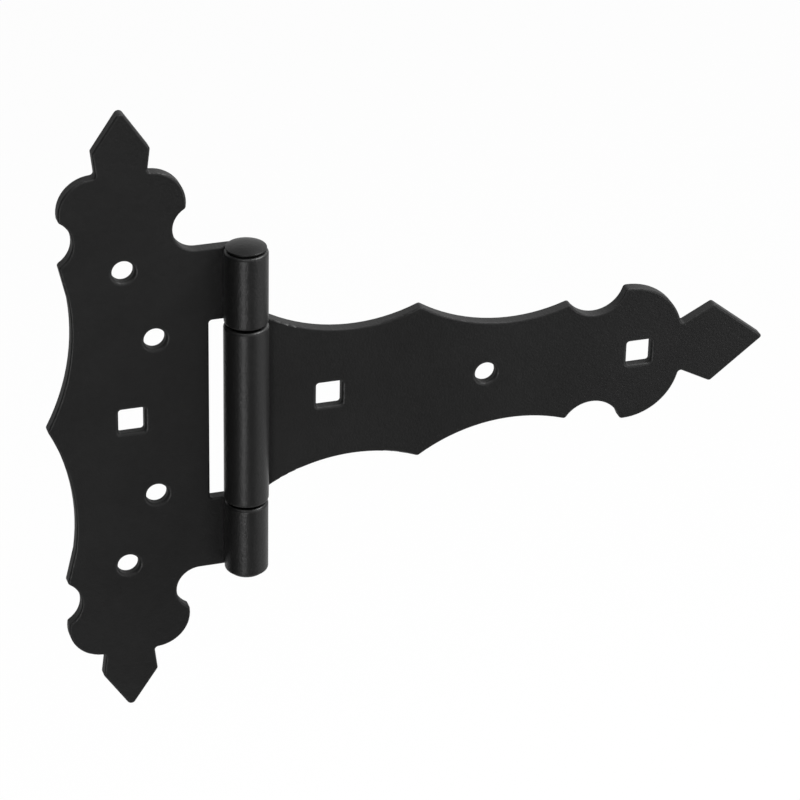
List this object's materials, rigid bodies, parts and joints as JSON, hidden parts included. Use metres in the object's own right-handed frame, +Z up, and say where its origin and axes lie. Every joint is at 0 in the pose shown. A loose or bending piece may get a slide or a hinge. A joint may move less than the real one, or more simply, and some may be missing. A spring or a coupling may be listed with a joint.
{
  "type": "gate hinge",
  "caption": "Ornamental tee hinge for a gate: scalloped spear-ended strap with a rolled eye, turning on a riveted pin in the knuckles of a finial-shaped post plate.",
  "frame": {"origin": "middle of the outer screw pair of the post plate, in its back face, which is also the finial axis", "axes": "+Z up along the pin towards its domed head, +X along the strap, +Y into the surface the hinge is screwed to"},
  "size_m": [0.17, 0.0102, 0.15],
  "materials": {
    "leaf_coat": "matte black powder coat with a fine grain",
    "pin_coat": "matte black powder coat, slightly smoother over the domed head"
  },
  "bodies": {
    "plate_body": {"plate": "leaf_coat", "pin": "pin_coat"},
    "strap_body": {"strap": "leaf_coat"}
  },
  "joints": [
    {"name": "strap_swing", "type": "hinge", "parent": "plate_body", "child": "strap_body", "pos_m": [0.0269, -0.005, 0], "axis": [0, 0, 1], "range_deg": [-180, 90]}
  ]
}
